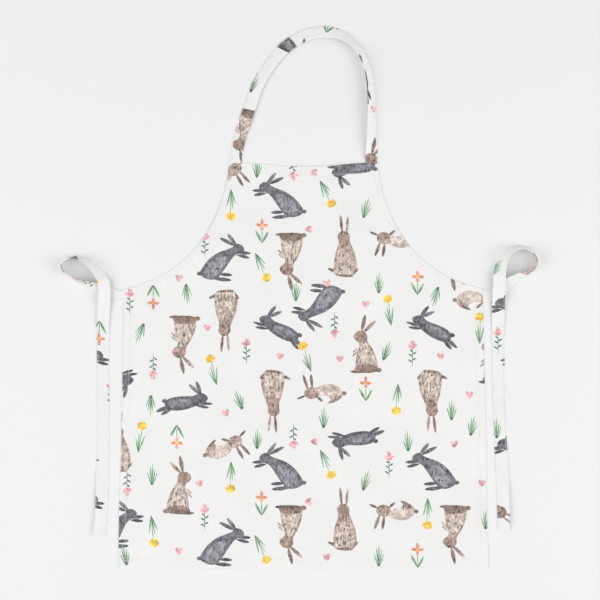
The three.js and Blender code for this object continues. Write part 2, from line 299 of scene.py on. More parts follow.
def leaping_rabbit():
    body = [
        (-45, -22), (-39, -11), (-27, 4), (-10, 16), (6, 22), (18, 27), (25, 33), (34, 32),
        (40, 26), (40, 20), (32, 15), (22, 10), (14, 1), (6, -11), (-1, -21), (-9, -31),
        (-20, -36), (-33, -34), (-43, -28),
    ]
    flank = [(-36, -22), (-28, -8), (-12, 6), (4, 10), (4, -4), (-4, -18), (-14, -29), (-28, -31)]
    return [
        leaf(26, 12, 51, 6, 6.5, "slate", "slate", 1),
        leaf(-10, -25, 18, -27, 7, "slate", "slate", 1),
        leaf(27, 29, 8, 53, 7.5, "slate", "ash", 1), smooth_outline(body, "smoke", "smoke"),
        smooth_outline(flank, "ash", "ash"), leaf(23, 17, 54, 15, 7, "smoke", "slate", 1),
        leaf(-22, -33, 16, -37, 8, "smoke", "slate", 1),
        leaf(24, 29, -7, 45, 7.5, "slate", "smoke", 1),
        oval(-46, -24, 5, 4, "slate", "smoke"), oval(34, 27, 1.6, 1.6, "slate", "slate"),
    ]


def running_rabbit():
    body = [
        (-38, 2), (-31, 10), (-14, 13), (4, 12), (18, 11), (26, 14), (35, 15), (43, 10),
        (46, 3), (40, -3), (30, -5), (20, -9), (4, -13), (-14, -14), (-28, -12), (-37, -6),
    ]
    flank = [(-32, 0), (-24, 6), (-6, 7), (12, 5), (16, -1), (2, -8), (-18, -9), (-29, -7)]
    return [
        leaf(-24, -8, -48, -19, 7, "slate", "slate", 1),
        leaf(20, -7, 46, -15, 6, "slate", "slate", 1),
        leaf(34, 12, 27, 39, 7.5, "slate", "smoke", 1), smooth_outline(body, "slate", "smoke"),
        smooth_outline(flank, "smoke", "ash"), leaf(-26, -3, -57, -12, 8, "smoke", "slate", 1),
        leaf(24, -4, 54, -8, 6, "smoke", "slate", 1), leaf(33, 12, 12, 34, 7.5, "slate", "ash", 1),
        oval(-38, 7, 5, 4, "slate", "slate"), oval(38, 8, 1.6, 1.6, "slate", "slate"),
    ]


def sitting_rabbit():
    body = [
        (-24, -51), (-28, -39), (-24, -20), (-16, -3), (-8, 9), (-8, 20), (-1, 28), (10, 28),
        (18, 20), (17, 12), (9, 6), (7, -3), (12, -15), (14, -30), (15, -43), (17, -51), (0, -53),
    ]
    rump = [(-26, -50), (-26, -40), (-12, -36), (6, -37), (15, -42), (16, -50), (0, -53)]
    chest = [
        (-23, -34), (-19, -16), (-10, 0), (-3, 8), (4, 5), (6, -8), (10, -24), (11, -36), (-6, -40),
    ]
    return [
        leaf(8, -8, 21, -21, 4, "sand", "rust"), leaf(1, 24, -24, 48, 7.5, "umber", "fawn", 1),
        smooth_outline(body, "fawn", "rust"), smooth_outline(chest, "sand", "sand"),
        smooth_outline(rump, "umber", "rust"), leaf(7, -2, 20, -13, 4, "sand", "rust"),
        leaf(0, -51, 25, -50, 6, "umber", "umber", 1), leaf(3, 25, -4, 60, 8, "rust", "umber", 1),
        oval(-30, -47, 6, 4.5, "umber", "rust"), oval(9, 20, 1.6, 1.6, "umber", "umber"),
    ]


def standing_rabbit():
    body = [
        (-17, -54), (-22, -44), (-21, -28), (-18, -10), (-13, 4), (-13, 14), (-14, 23), (-7, 31),
        (3, 30), (9, 22), (9, 12), (14, 0), (20, -16), (23, -34), (21, -48), (14, -55),
    ]
    back = shrunk([p for p in body if p[1] < 10], 0.84, (0, -2))
    return [
        leaf(-12, -50, -33, -41, 6, "umber", "umber", 1),
        leaf(3, 26, 6, 61, 5.5, "rust", "fawn", 1),
        smooth_outline(body, "fawn", "rust"), smooth_outline(back, "sand", "fawn"),
        leaf(-18, -54, 16, -56, 6, "umber", "rust", 1), leaf(-5, 26, -9, 63, 6, "umber", "rust", 1),
        oval(-6, 22, 1.6, 1.6, "umber", "umber"), leaf(18, -50, 25, -40, 6, "umber", "rust", 1),
    ]


def resting_rabbit():
    body = [
        (-14, 3), (-4, 12), (12, 16), (28, 13), (38, 5), (41, -5), (34, -14), (22, -18),
        (18, -12), (10, -7), (0, -6), (-10, -6),
    ]
    haunch = [(16, -12), (20, -4), (32, 0), (40, -4), (34, -14), (22, -18)]
    head = [(-34, -2), (-29, 7), (-18, 10), (-8, 6), (-7, -4), (-14, -12), (-27, -12)]
    return [
        leaf(-30, -6, -48, -13, 5, "umber", "umber", 1),
        leaf(-26, 4, -36, 34, 6.5, "rust", "umber", 1),
        smooth_outline(body, "fawn", "sand", 0),
        smooth_outline(shrunk(body, 0.78), "cream", "sand", 0),
        smooth_outline(haunch, "rust", "sand"), leaf(34, -12, 12, -21, 6, "rust", "umber", 1),
        smooth_outline(head, "rust", "fawn"), leaf(-12, -6, 2, -18, 5.5, "rust", "umber", 1),
        leaf(-18, 6, -21, 35, 6.5, "rust", "umber", 1), oval(43, -2, 5, 4, "umber", "rust"),
        oval(-26, 0, 1.6, 1.6, "umber", "umber"),
    ]


def daffodil():
    blades = ((-9, -3, 3), (8, 3, 3), (-4, 7, 2.6))
    petals = ((-9, 24), (-8, 16), (-2, 29), (6, 27), (10, 20), (3, 12))
    return [
        leaf(0, -32, 1, 20, 1.7, "moss", "leaf"),
        *[leaf(0, -32, x, y, wide, "moss", "leaf") for x, y, wide in blades],
        *[leaf(0, 20, x, y, 8.5, "yolk", "lemon") for x, y in petals],
        oval(0, 20, 5, 4, "yolk", "lemon"),
    ]


def four_petals():
    petals = ((0, 26), (-12, 14), (12, 13), (0, 2))
    return [
        leaf(0, -22, 0, 9, 1.8, "moss", "leaf"), leaf(0, -22, -13, 3, 5, "moss", "leaf"),
        leaf(0, -22, 12, 0, 5, "moss", "leaf"),
        *[leaf(0, 12, x, y, 6.5, "coral", "apricot") for x, y in petals],
        oval(0, 12, 2, 2, "lemon", "lemon"),
    ]


def grass():
    blades = ((-1.5, -9, 6, 2.4), (-0.5, -4, 17, 2.6), (0, 1, 22, 2.6), (0.8, 6, 13, 2.4),
              (1.5, 10, 5, 2.2))
    return [leaf(foot, -19, x, y, wide, "moss", "leaf") for foot, x, y, wide in blades] + [
        oval(0, -16, 2.6, 3.4, "moss", "moss"),
    ]


def pink_sprig():
    leaves = ((-8, -12, -17), (7, -9, -13), (-7, -1, -6), (8, 3, -2), (-5, 8, 3))
    return [
        leaf(0, -27, 0, 12, 1.7, "moss", "sage"),
        *[leaf(0, y, x, tip, 3.4, "moss", "sage") for x, tip, y in leaves],
        *[leaf(0, 9, x, y, 6, "rose", "blush") for x, y in ((-9, 17), (8, 18), (-2, 27), (3, 24))],
        oval(0, 11, 2.6, 2, "coral", "rose"),
    ]


def heart():
    outline = [(0, -7), (6, -1), (7, 4), (4, 7), (0, 4), (-4, 7), (-7, 4), (-6, -1)]
    return [smooth_outline(outline, "rose", "blush", 0)]


MOTIFS = {
    "leap": leaping_rabbit(), "run": running_rabbit(), "sit": sitting_rabbit(),
    "stand": standing_rabbit(), "rest": resting_rabbit(), "daffodil": daffodil(),
    "petals": four_petals(), "grass": grass(), "sprig": pink_sprig(), "heart": heart(),
}

# One repeat of the print. Each motif's places are x, y, turn in degrees, 1 or -1 where it is
# mirrored, and how much further than a repeat its next one lies.
REPEAT = 525
PRINT = {
    "leap": [(30, -30, 180, 1), (-45, -350, 0, -1), (250, -350, 0, -1), (-358, -462, 8, 1),
             (-155, -494, 0, 1, 22)],
    "run": [(-374, -172, 180, -1), (-45, -80, -25, -1), (250, -80, -25, -1),
            (-230, -220, 6, 1), (100, -290, 184, 1)],
    "sit": [(-235, -105, 180, 1), (115, -110, 0, -1), (362, -130, 0, -1),
            (-235, -382, 0, 1), (-28, -470, 182, 1), (288, -470, 180, 1)],
    "stand": [(-357, -296, 0, 1), (-150, -60, 180, -1), (-60, -215, 178, 1),
              (245, -215, 180, 1), (80, -445, 0, 1)],
    "rest": [(335, -20, 0, -1), (35, -200, 0, 1), (-150, -305, 205, 1), (175, -430, 178, -1)],
    "daffodil": [(165, -40, 8, 1), (340, -75, 0, 1), (-175, -155, 14, 1), (5, -130, 18, 1),
                 (180, -215, 176, 1), (-315, -285, -8, 1), (-140, -365, 180, 1),
                 (45, -340, 205, 1), (240, -435, 180, 1), (-290, -470, 186, 1),
                 (-80, -503, 205, 1, 18)],
    "petals": [(-290, -15, 180, 1), (120, -195, 0, 1), (-245, -285, 180, 1), (-80, -415, 0, 1),
               (220, -515, 0, 1)],
    "grass": [(-225, -10, 185, 1), (-15, -5, 0, 1), (255, -15, 165, 1), (-315, -85, 158, 1),
              (160, -120, -20, 1), (-295, -225, 180, 1),
              (-125, -215, 20, 1), (285, -235, 0, 1), (-90, -290, 0, 1), (38, -250, 0, 1),
              (325, -265, -10, 1), (200, -295, 5, 1), (120, -370, -14, 1), (-292, -360, 0, 1),
              (352, -445, 0, 1), (145, -515, 0, 1), (-345, -515, 12, 1, 45)],
    "sprig": [(-335, -25, 0, 1), (60, -70, 180, 1), (-110, -120, 0, 1), (210, -125, 0, 1),
              (-290, -150, 180, 1), (-20, -285, 180, 1), (165, -340, 0, 1), (-340, -375, 180, 1),
              (-190, -440, 0, 1)],
    "heart": [(120, -30, 0, 1), (-185, -75, 10, 1), (-45, -130, -12, 1), (70, -135, 0, 1),
              (265, -130, 14, 1), (320, -205, 0, 1), (-150, -240, 20, 1), (20, -295, -90, 1),
              (290, -300, 0, 1), (-200, -375, 30, 1), (345, -375, 0, 1), (10, -410, -80, 1),
              (-240, -505, 0, 1), (45, -515, 12, 1)],
}


MOTIF_REACH = 66


def on_cloth(placed, low, high):
    """The shapes of the placed motifs that reach a rectangle of cloth, in metres."""
    low, high = np.array(low) / MM, np.array(high) / MM
    found = []
    for name, x, y, turn, flip in placed:
        middle = np.array((x, y))
        if np.any(middle < low - MOTIF_REACH) or np.any(middle > high + MOTIF_REACH):
            continue
        c, s = math.cos(math.radians(turn)), math.sin(math.radians(turn))
        spin = np.array(((c * flip, -s), (s * flip, c)))
        for outline, foot, head, start, end, furry in MOTIFS[name]:
            ring = np.array(outline) @ spin.T + middle
            if np.any(ring.max(0) < low) or np.any(ring.min(0) > high):
                continue
            start, end = (spin @ np.array(p, float) + middle for p in (start, end))
            found.append((ring * MM, linear(foot), linear(head), start * MM, end * MM, furry))
    return found


def inside(points, outline):
    """Which points lie inside a closed outline."""
    points, ring = np.asarray(points), np.array(outline)
    within = np.zeros(len(points), bool)
    for (x0, y0), (x1, y1) in zip(ring, np.roll(ring, -1, axis=0)):
        if y0 != y1:
            crosses = (points[:, 1] >= min(y0, y1)) & (points[:, 1] < max(y0, y1))
            at = x0 + (points[:, 1] - y0) * (x1 - x0) / (y1 - y0)
            within ^= crosses & (points[:, 0] < at)
    return within


def scattered(outline, step, edge_gap, seed=5):
    """Points in staggered rows over a cloth, a little uneven so that the facets don't show."""
    loose = np.random.default_rng(seed)
    ring = np.array(outline)
    low, high = ring.min(0), ring.max(0)
    columns, rows = ((high - low) / step).astype(int) + 1
    i, j = np.meshgrid(np.arange(columns), np.arange(rows))
    x = low[0] + (i + 0.5 * (j % 2)) * step
    y = low[1] + j * step
    spots = np.column_stack([x.ravel(), y.ravel()]) + loose.uniform(-0.1, 0.1, (i.size, 2)) * step
    spots = spots[inside(spots, outline)]
    return spots[distance_to_run(spots, [*outline, outline[0]]) > edge_gap]


def triangulated(outline, points, shapes):
    """Triangles of a flat cloth that follow its outline and the print's edges, with the number of
    the shape printed on each, or 0."""
    spots, edges = [], []
    for ring in [outline, *[shape[0] for shape in shapes]]:
        first, n = len(spots), len(ring)
        spots += [Vector(p) / MM for p in ring]
        edges += [(first + i, first + (i + 1) % n) for i in range(n)]
    spots += [Vector(p) / MM for p in points]
    places, _, triangles, *_ = geometry.delaunay_2d_cdt(spots, edges, [], 0, 1e-4, False)
    flat, triangles = np.array(places) * MM, np.array(triangles)
    triangles = triangles[inside(flat[triangles].mean(1), outline)]
    middles = flat[triangles].mean(1)
    tops = np.zeros(len(triangles), int)
    for number, shape in enumerate(shapes, 1):
        ring = np.array(shape[0])
        near = np.all((middles > ring.min(0)) & (middles < ring.max(0)), axis=1).nonzero()[0]
        if len(near):
            tops[near[inside(middles[near], ring)]] = number
    used = np.unique(triangles)
    index = np.zeros(len(flat), int)
    index[used] = np.arange(len(used))
    return flat[used], index[triangles], tops


def rim_loop(triangles):
    """The border of a triangulated cloth, anticlockwise, with the triangle behind each step."""
    owner = {}
    for number, (a, b, c) in enumerate(triangles.tolist()):
        owner.update({(a, b): number, (b, c): number, (c, a): number})
    after = {a: (b, number) for (a, b), number in owner.items() if (b, a) not in owner}
    start = at = min(after)
    loop = []
    while not loop or at != start:
        following, number = after[at]
        loop.append((at, number))
        at = following
    return loop


def cloth_piece(name, outline, points, lay, thickness, rim, shapes=(), show=(1, 1)):
    """A cloth with its printed face, its plain face and the rounded rim between them. lay places
    flat points at a depth below the printed face, rim lists steps of (distance out, depth), and
    show says how strongly the print shows on the printed face and on the other."""
    flat, triangles, tops = triangulated(outline, points, shapes)
    loop = rim_loop(triangles)
    n, m = len(flat), len(loop)
    ring = flat[[i for i, _ in loop]]
    step = np.roll(ring, -1, axis=0) - np.roll(ring, 1, axis=0)
    out = np.column_stack([step[:, 1], -step[:, 0]]) / np.linalg.norm(step, axis=1)[:, None]
    flats = [flat, flat] + [ring + out * far for far, _ in rim]
    depths = [0, thickness] + [depth for _, depth in rim]
    vertices = np.concatenate([lay(spots, depth) for spots, depth in zip(flats, depths)])
    flats = np.concatenate(flats)
    rows = [np.array([i for i, _ in loop])]
    rows += [2 * n + k * m + np.arange(m) for k in range(len(rim))]
    rows += [rows[0] + n]
    rim_faces = [
        np.column_stack([a, b, np.roll(b, -1), np.roll(a, -1)]) for a, b in zip(rows, rows[1:])
    ]
    faces = [*triangles.tolist(), *(triangles[:, ::-1] + n).tolist()]
    faces += np.concatenate(rim_faces).tolist()
    behind = np.array([number for _, number in loop])
    owners = np.concatenate([np.arange(len(triangles))] * 2 + [behind] * len(rim_faces))
    strong = np.full(len(faces), float(show[0]))
    strong[len(triangles):2 * len(triangles)] = show[1]
    strong[len(faces) - m * (len(rim_faces) // 2):] = show[1]
    mesh = bpy.data.meshes.new(name)
    mesh.from_pydata(vertices.tolist(), [], faces)
    mesh.shade_smooth()
    sizes = np.array([len(face) for face in faces])
    corner_face = np.repeat(np.arange(len(faces)), sizes)
    corner_vertex = np.concatenate([np.array(face) for face in faces])
    top = tops[owners[corner_face]]
    ink = np.zeros((len(top), 4), np.float32)
    fur = np.zeros(len(top), np.float32)
    if shapes:
        foot, head, start, end = (np.array([s[k] for s in shapes]) for k in (1, 2, 3, 4))
        printed = (top > 0).nonzero()[0]
        which = top[printed] - 1
        axis = (end - start)[which]
        share = ((flats[corner_vertex[printed]] - start[which]) * axis).sum(1) / (axis**2).sum(1)
        share = np.clip(share, 0, 1)[:, None]
        ink[printed, :3] = foot[which] + (head - foot)[which] * share
        ink[printed, 3] = strong[corner_face[printed]]
        fur[printed] = np.array([s[5] for s in shapes])[which]
    mesh.attributes.new("ink", "FLOAT_COLOR", "CORNER").data.foreach_set("color", ink.ravel())
    mesh.attributes.new("fur", "FLOAT", "CORNER").data.foreach_set("value", fur)
    place = np.column_stack([flats, np.zeros(len(flats))]).astype(np.float32)
    mesh.attributes.new("flat", "FLOAT_VECTOR", "POINT").data.foreach_set("vector", place.ravel())
    piece = bpy.data.objects.new(name, mesh)
    bpy.context.scene.collection.objects.link(piece)
    return piece


YARN_PITCH = 0.45 * MM


def cotton_cloth(name, cloth, weave_depth, lets_through=0.0):
    """Matt plain-weave cotton: fine crossed yarns with slubs, soft ink that is uneven like a
    washed print, and darker flecks in the rabbits' fur."""
    material = bpy.data.materials.new(name)
    material.use_nodes = True
    nodes, links = material.node_tree.nodes, material.node_tree.links
    shader = nodes["Principled BSDF"]

    def node(kind, *sources, **settings):
        made = nodes.new(kind)
        for key, value in settings.items():
            if hasattr(made, key):
                setattr(made, key, value)
            else:
                made.inputs[key.replace("_", " ")].default_value = value
        for number, source in enumerate(sources):
            if isinstance(source, (int, float)):
                made.inputs[number].default_value = source
            else:
                links.new(source, made.inputs[number])
        return made.outputs[0]

    def attribute(layer, output):
        made = nodes.new("ShaderNodeAttribute")
        made.attribute_name = layer
        return made.outputs[output]

    def noise(vector, scale, detail=2.0):
        return node("ShaderNodeTexNoise", vector, Scale=scale, Detail=detail, noise_dimensions="3D")

    def band(value, low, high, bottom, top):
        made = nodes.new("ShaderNodeMapRange")
        links.new(value, made.inputs[0])
        for number, setting in enumerate((low, high, bottom, top), 1):
            made.inputs[number].default_value = setting
        return made.outputs[0]

    def maths(operation, *sources):
        return node("ShaderNodeMath", *sources, operation=operation)

    def scaled(vector, x, y):
        made = nodes.new("ShaderNodeMapping")
        links.new(vector, made.inputs["Vector"])
        made.inputs["Scale"].default_value = (x, y, 1)
        return made.outputs[0]

    def mixed(factor, first, second, blend="MIX"):
        made = nodes.new("ShaderNodeMix")
        made.data_type, made.blend_type = "RGBA", blend
        for key, source in (("Factor_Float", factor), ("A_Color", first), ("B_Color", second)):
            socket = next(s for s in made.inputs if s.identifier == key)
            if isinstance(source, (int, float, tuple)):
                socket.default_value = source
            else:
                links.new(source, socket)
        return next(s for s in made.outputs if s.identifier == "Result_Color")

    flat = attribute("flat", "Vector")
    # Warp and weft yarns, with thicker slubs along each
    slub_along = noise(scaled(flat, 900, 60), 1.0)
    slub_across = noise(scaled(flat, 60, 900), 1.0)
    yarn = math.tau / YARN_PITCH
    split = node("ShaderNodeSeparateXYZ", flat)
    warp = maths("SINE", maths("MULTIPLY", split, yarn))
    weft = maths("SINE", maths("MULTIPLY", split.node.outputs[1], yarn))
    slubs = maths("ADD", slub_along, slub_across)
    weave = maths("ADD", maths("MULTIPLY", warp, weft), maths("MULTIPLY", slubs, 1.2))
    # The cloth's own colour is very slightly cloudy and streaked along its yarns
    cloud = band(noise(flat, 11, 3), 0.3, 0.7, 0.972, 1.012)
    streak = band(slubs, 0.7, 1.3, 0.965, 1.02)
    ground = mixed(1.0, cloth + (1,), maths("MULTIPLY", cloud, streak), "MULTIPLY")
    # Ink pools and thins in patches a few millimetres wide, and flecks the fur
    wash = band(noise(flat, 80, 4), 0.34, 0.66, 0.64, 1.36)
    fine = band(noise(scaled(flat, 1, 0.6), 300, 2), 0.32, 0.68, 0.7, 1.3)
    fleck = band(noise(scaled(flat, 1, 0.42), 280, 1.0), 0.56, 0.63, 0.0, 0.72)
    furry = maths("MULTIPLY", fleck, attribute("fur", "Fac"))
    tone = maths("MULTIPLY", maths("MULTIPLY", wash, fine), maths("SUBTRACT", 1.0, furry))
    ink = mixed(1.0, attribute("ink", "Color"), tone, "MULTIPLY")
    thin = band(noise(flat, 150, 2), 0.3, 0.75, 1.0, 0.82)
    cover = maths("MULTIPLY", attribute("ink", "Alpha"), thin)
    links.new(mixed(cover, ground, ink), shader.inputs["Base Color"])
    rough = band(noise(flat, 700, 2), 0.3, 0.7, 0.82, 0.93)
    links.new(rough, shader.inputs["Roughness"])
    crumple = node("ShaderNodeBump", Strength=0.35, Distance=0.0012)
    links.new(noise(flat, 45, 3), crumple.node.inputs["Height"])
    bump = node("ShaderNodeBump", Strength=weave_depth, Distance=0.00012)
    links.new(weave, bump.node.inputs["Height"])
    links.new(crumple, bump.node.inputs["Normal"])
    links.new(bump, shader.inputs["Normal"])
    shader.inputs["Specular IOR Level"].default_value = 0.25
    shader.inputs["Sheen Weight"].default_value = 0.12
    shader.inputs["Sheen Roughness"].default_value = 0.45
    shader.inputs["Subsurface Weight"].default_value = lets_through
    shader.inputs["Subsurface Radius"].default_value = (1, 0.98, 0.94)
    shader.inputs["Subsurface Scale"].default_value = 0.0016
    return material


# Rows of points in from the edge, and round a hem's or a sewn-down end's inner edge, in mm
EDGE_ROWS, STEP_ROWS = (0.9, 2.6, 5.5), (-3.8, -2.2, -1.1, -0.2, 0.7, 1.6)
PATCH_ROWS = (-2.5, -0.4, 0.9, 2.2)


def border_points():
    """Rows of points along the border that follow its rolled edge, its seam and its step down."""
    found = []
    for corners, depth in border_runs.values():
        spots = np.array(even_points(corners, 3 * MM))
        heading = np.array([*spots[1:], corners[-1]]) - spots
        inward = np.column_stack([-heading[:, 1], heading[:, 0]])
        inward /= np.linalg.norm(inward, axis=1)[:, None]
        for row in (*EDGE_ROWS, *(depth / MM + beyond for beyond in STEP_ROWS)):
            found.append(spots + inward * row * MM)
    for x, y in end_patches().values():
        for grow in PATCH_ROWS:
            half = END_DEPTH / 2 + grow * MM
            square = [(x - half, y - half), (x + half, y - half), (x + half, y + half),
                      (x - half, y + half), (x - half, y - half)]
            found.append(np.array(even_points(square, 2.5 * MM)))
    found = np.concatenate(found)
    found = found[inside(found, panel_outline)]
    return found[distance_to_run(found, [*panel_outline, panel_outline[0]]) > 0.6 * MM]


panel_print = [
    (name, x, y + rise * (REPEAT + sum(extra)), turn, flip)
    for name, places in PRINT.items() for x, y, turn, flip, *extra in places for rise in (0, 1)
]
EDGE_BAND = 22 * MM
middle_points = scattered(panel_outline, 6 * MM, EDGE_BAND)
edge_band = scattered(panel_outline, 5 * MM, 6 * MM)
near_edge = distance_to_run(edge_band, [*panel_outline, panel_outline[0]]) <= EDGE_BAND
panel_points = [*middle_points, *edge_band[near_edge], *border_points()]
ROLLED_EDGE = [(0.3 * MM, 0.12 * MM), (0.5 * MM, 0.45 * MM), (0.5 * MM, 0.8 * MM),
               (0.3 * MM, 1.05 * MM), (0.0, 1.0 * MM)]
SHOW_THROUGH = 0.14
front_panel = cloth_piece(
    "printed_front_panel", panel_outline, panel_points, lay_panel, CLOTH, ROLLED_EDGE,
    on_cloth(panel_print, panel_low.xy, panel_high.xy), (1, SHOW_THROUGH),
)
printed_cotton = cotton_cloth("printed_cotton", (0.875, 0.872, 0.862), 0.5)
front_panel.data.materials.append(printed_cotton)
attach(front_panel, "panel")
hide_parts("front_panel")


# ---- Turned hems -----------------------------------------------------------------------------
# The border of the same cloth, folded under twice along every edge and sewn down, so that its
# printed side shows underneath. Each run is its own piece, butted to the next at the corners.
HEM_LAYER = 0.9 * MM
UNDER_PANEL = CLOTH + 0.05 * MM
OFF_TABLE = 0.02 * MM
FOLDED_EDGE = [(0.12 * MM, 0.1 * MM), (0.22 * MM, 0.3 * MM), (0.12 * MM, 0.45 * MM),
               (0.22 * MM, 0.62 * MM), (0.12 * MM, 0.8 * MM)]


def lay_under(places, depth):
    """Cloth lying against the underside of the panel's border."""
    height = panel_height(places) - (UNDER_PANEL + depth)
    return np.column_stack([settled(places), np.maximum(height, OFF_TABLE)])


def clipped(outline, low, high):
    """The part of an outline inside an upright rectangle."""
    for axis in (0, 1):
        for limit, sign in ((low[axis], 1), (high[axis], -1)):
            kept = []
            for p, q in zip(outline, [*outline[1:], outline[0]]):
                a, b = sign * (p[axis] - limit), sign * (q[axis] - limit)
                if a >= 0:
                    kept.append(tuple(p))
                if a * b < 0:
                    share = a / (a - b)
                    kept.append(tuple(np.array(p) + (np.array(q) - np.array(p)) * share))
            outline = kept
    return outline


def offset_run(corners, depth):
    """A border run moved inward."""
    spots = np.array(corners, float)
    heading = np.gradient(spots, axis=0)
    inward = np.column_stack([-heading[:, 1], heading[:, 0]])
    return spots + inward / np.linalg.norm(inward, axis=1)[:, None] * depth


# The corners of the rectangle that each hem keeps to, so that it stops short of its neighbours
GAP = 0.4 * MM
BELOW_WAIST = -40 * MM
TOP_HEM_HALF = NECK_END_X - END_WIDTH / 2 - GAP
hem_reach = {
    "bottom": ((-HEM_HALF + GAP, SKIRT_END), (HEM_HALF - GAP, 0)),
    "right_side": ((0, SKIRT_END + BOTTOM_HEM + GAP), (HEM_HALF, TIE_END_Y - END_WIDTH / 2 - GAP)),
    "right_armhole": (
        (0, BELOW_WAIST), (WAIST_HALF - END_DEPTH - GAP, BIB_END - END_DEPTH - GAP),
    ),
    "bib_top": ((-TOP_HEM_HALF, 0), (TOP_HEM_HALF, BIB_END)),
}
for side in ("armhole", "side"):
    low, high = hem_reach[f"right_{side}"]
    hem_reach[f"left_{side}"] = ((-high[0], low[1]), (0, high[1]))

HEM_STEP, HEM_EDGE = 4 * MM, 1.2 * MM
turned_cotton = cotton_cloth("turned_cotton", (0.865, 0.862, 0.85), 0.5)
for run, (corners, depth) in border_runs.items():
    ring = [*offset_run(corners, GAP), *offset_run(corners, depth)[::-1]]
    ring = clipped(ring, *hem_reach[run])
    outline = even_points([*ring, ring[0]], HEM_STEP)
    low, high = np.min(outline, axis=0), np.max(outline, axis=0)
    hem = cloth_piece(
        f"turned_{run}_hem", outline, scattered(outline, HEM_STEP, HEM_EDGE), lay_under,
        HEM_LAYER, FOLDED_EDGE, on_cloth(panel_print, low, high), (0, 1),
    )
    hem.data.materials.append(turned_cotton)
    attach(hem, "panel")
    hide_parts(f"{run}_hem")


# ---- Sewn-down ends --------------------------------------------------------------------------
# The last 24 mm of the neck strap and of each tie, laid under the corners of the cloth and sewn
# down with a box of stitches. Each stops a little short of where its free part comes out.
MOUTH = 1.8 * MM
for name, (x, y) in end_patches().items():
    half = END_WIDTH / 2
    low, high = np.array((x - half, y - half)), np.array((x + half, y + half))
    if "neck" in name:
        high[1] -= MOUTH
    elif x < 0:
        low[0] += MOUTH
    else:
        high[0] -= MOUTH
    corners = [(low[0], low[1]), (high[0], low[1]), (high[0], high[1]), (low[0], high[1])]
    outline = even_points([*corners, corners[0]], 2 * MM)
    end = cloth_piece(
        name.replace("_sewn_end", "_end") + "_cloth", outline,
        scattered(outline, HEM_STEP, HEM_EDGE), lay_under, HEM_LAYER, FOLDED_EDGE,
        on_cloth([("heart", x / MM + 4, y / MM - 3, 40, 1)], low, high), (0, 1),
    )
    end.data.materials.append(turned_cotton)
    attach(end, "panel")
    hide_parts(name)


# ---- Neck strap ------------------------------------------------------------------------------
# One long strip of the printed cotton, folded double, turned in and edge stitched. It comes out
# from under both top corners of the bib and stands on its side round the right of its loop.
STRAP_WIDTH, STRAP_LAYERS, STRAP_HALF = 24 * MM, 1.25 * MM, 0.6 * MM
FOLD_START, NECK_FOLD_END = 0.6 * MM, 9 * MM
# Each row: share of the end's distance from the middle, height above the bib, tilt in degrees
# and height of the lower edge, in mm
neck_route = [
    (-1, 0.4, 0, 0), (-0.992, 14, 0, 0), (-0.943, 46, -4, 0), (-0.829, 93, -8, 0),
    (-0.669, 151, -8, 0), (-0.464, 195, -8, 0), (-0.228, 228, -8, 0), (0.023, 246, -8, 0.5),
    (0.312, 252.5, -14, 1), (0.578, 244, -32, 1), (0.783, 222, -48, 0.5), (0.92, 189, -54, 0),
    (0.981, 151, -50, 0), (1.004, 103, -44, 0), (1.004, 58, -34, 0), (1, 20, -12, 0),
    (1, 0.4, 0, 0),
]
neck_route = [(share * NECK_END_X / MM, BIB_END / MM + up, *lay) for share, up, *lay in neck_route]


STEPS_A_ROW = 16


def smooth_run(route, side):
    """Middle, across and face directions along a strap, and the length run at each, in metres.
    side is 1 where the strap's raised edge is on the left of its run, and -1 on the right."""
    rows = np.array(route, float)
    plan = rows[:, :2] * MM
    knots = [2 * plan[0] - plan[1], *plan, 2 * plan[-1] - plan[-2]]
    f = (np.arange(STEPS_A_ROW) / STEPS_A_ROW)[:, None]
    middles, tilts, lifts = [], [], []
    for k in range(len(plan) - 1):
        p0, p1, p2, p3 = knots[k:k + 4]
        d0, d1, d2 = (np.linalg.norm(b - a) ** 0.5 for a, b in ((p0, p1), (p1, p2), (p2, p3)))
        leave = ((p1 - p0) / d0 - (p2 - p0) / (d0 + d1) + (p2 - p1) / d1) * d1
        arrive = ((p2 - p1) / d1 - (p3 - p1) / (d1 + d2) + (p3 - p2) / d2) * d1
        middles.append(p1 + leave * f + (3 * (p2 - p1) - 2 * leave - arrive) * f**2
                       + (2 * (p1 - p2) + leave + arrive) * f**3)
        soft = (f * f * (3 - 2 * f))[:, 0]
        tilts.append(rows[k, 2] + (rows[k + 1, 2] - rows[k, 2]) * soft)
        lifts.append(rows[k, 3] + (rows[k + 1, 3] - rows[k, 3]) * soft)
    middle = np.vstack([*middles, plan[-1:]])
    tilt = np.radians(np.append(np.concatenate(tilts), rows[-1, 2]))
    lift = np.append(np.concatenate(lifts), rows[-1, 3]) * MM
    along = np.gradient(middle, axis=0)
    along /= np.linalg.norm(along, axis=1)[:, None]
    for end in (0, -1):
        main = np.argmax(np.abs(along[end]))
        along[end] = np.sign(along[end][main]) * np.eye(2)[main]
    cos, sin = np.cos(tilt), np.sin(tilt)
    across = np.column_stack([-along[:, 1] * side * cos, along[:, 0] * side * cos, sin])
    face = np.cross(np.column_stack([along, np.zeros(len(along))]), across) * side
    high = lift + np.abs(sin) * STRAP_WIDTH / 2 + cos * STRAP_HALF
    run = np.append(0, np.cumsum(np.linalg.norm(np.diff(middle, axis=0), axis=1)))
    return np.column_stack([middle, high]), across, face, run


# A strap is flat and even near its sewn end. Further out its edges ripple, its middle is a
# little fuller, and a shallow groove follows the seam beside each edge.
FLAT_ROOT, RIPPLES, CROWN, CROWN_DROP = 20 * MM, 6, 0.22 * MM, 0.1 * MM
GROOVE_AT, GROOVE_WIDTH, GROOVE_DEPTH = 0.84, 0.07, 0.12 * MM
WIDTH_PLAY, WIDTH_PLAY_SPREAD = 0.012, 23 * MM


